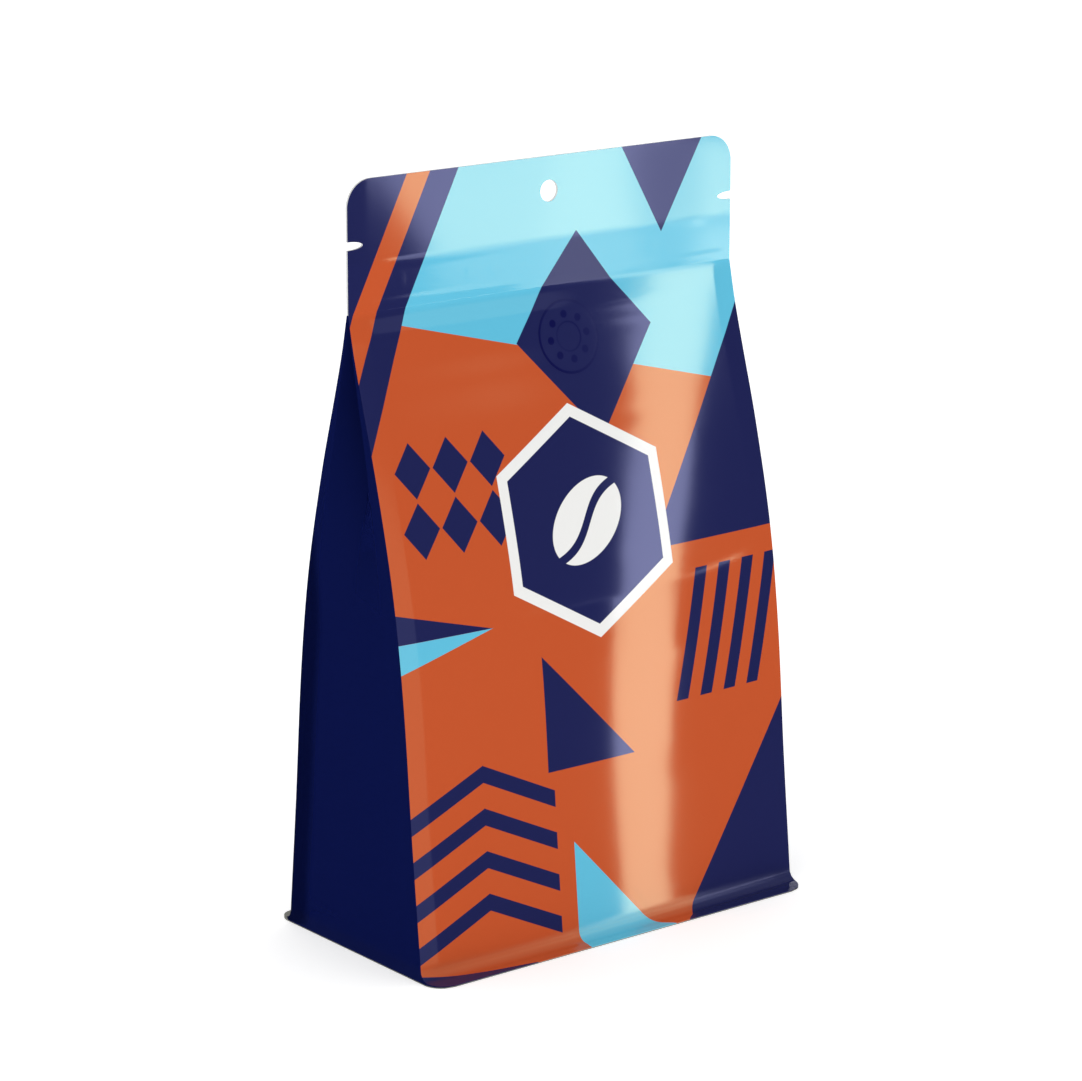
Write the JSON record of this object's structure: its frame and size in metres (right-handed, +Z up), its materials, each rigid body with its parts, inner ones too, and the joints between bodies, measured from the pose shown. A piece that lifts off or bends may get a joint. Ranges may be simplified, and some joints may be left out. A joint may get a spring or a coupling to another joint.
{
  "type": "flat-bottom pouch",
  "caption": "Filled flat-bottom pouch of printed film with side gussets, press-to-close zip header, tear notches, hang hole and a round degassing valve.",
  "frame": {"origin": "middle of the base, on the floor", "axes": "+Z up along the pouch's height, -Y the front panel with the valve, +X to the right seen from the front"},
  "size_m": [0.1396, 0.0794, 0.2246],
  "materials": {
    "printed_film": "satin matt printed laminate film",
    "valve_plastic": "film over moulded plastic, satin"
  },
  "bodies": {
    "root": {"pouch_body": "printed_film", "degassing_valve": "valve_plastic"}
  },
  "joints": []
}
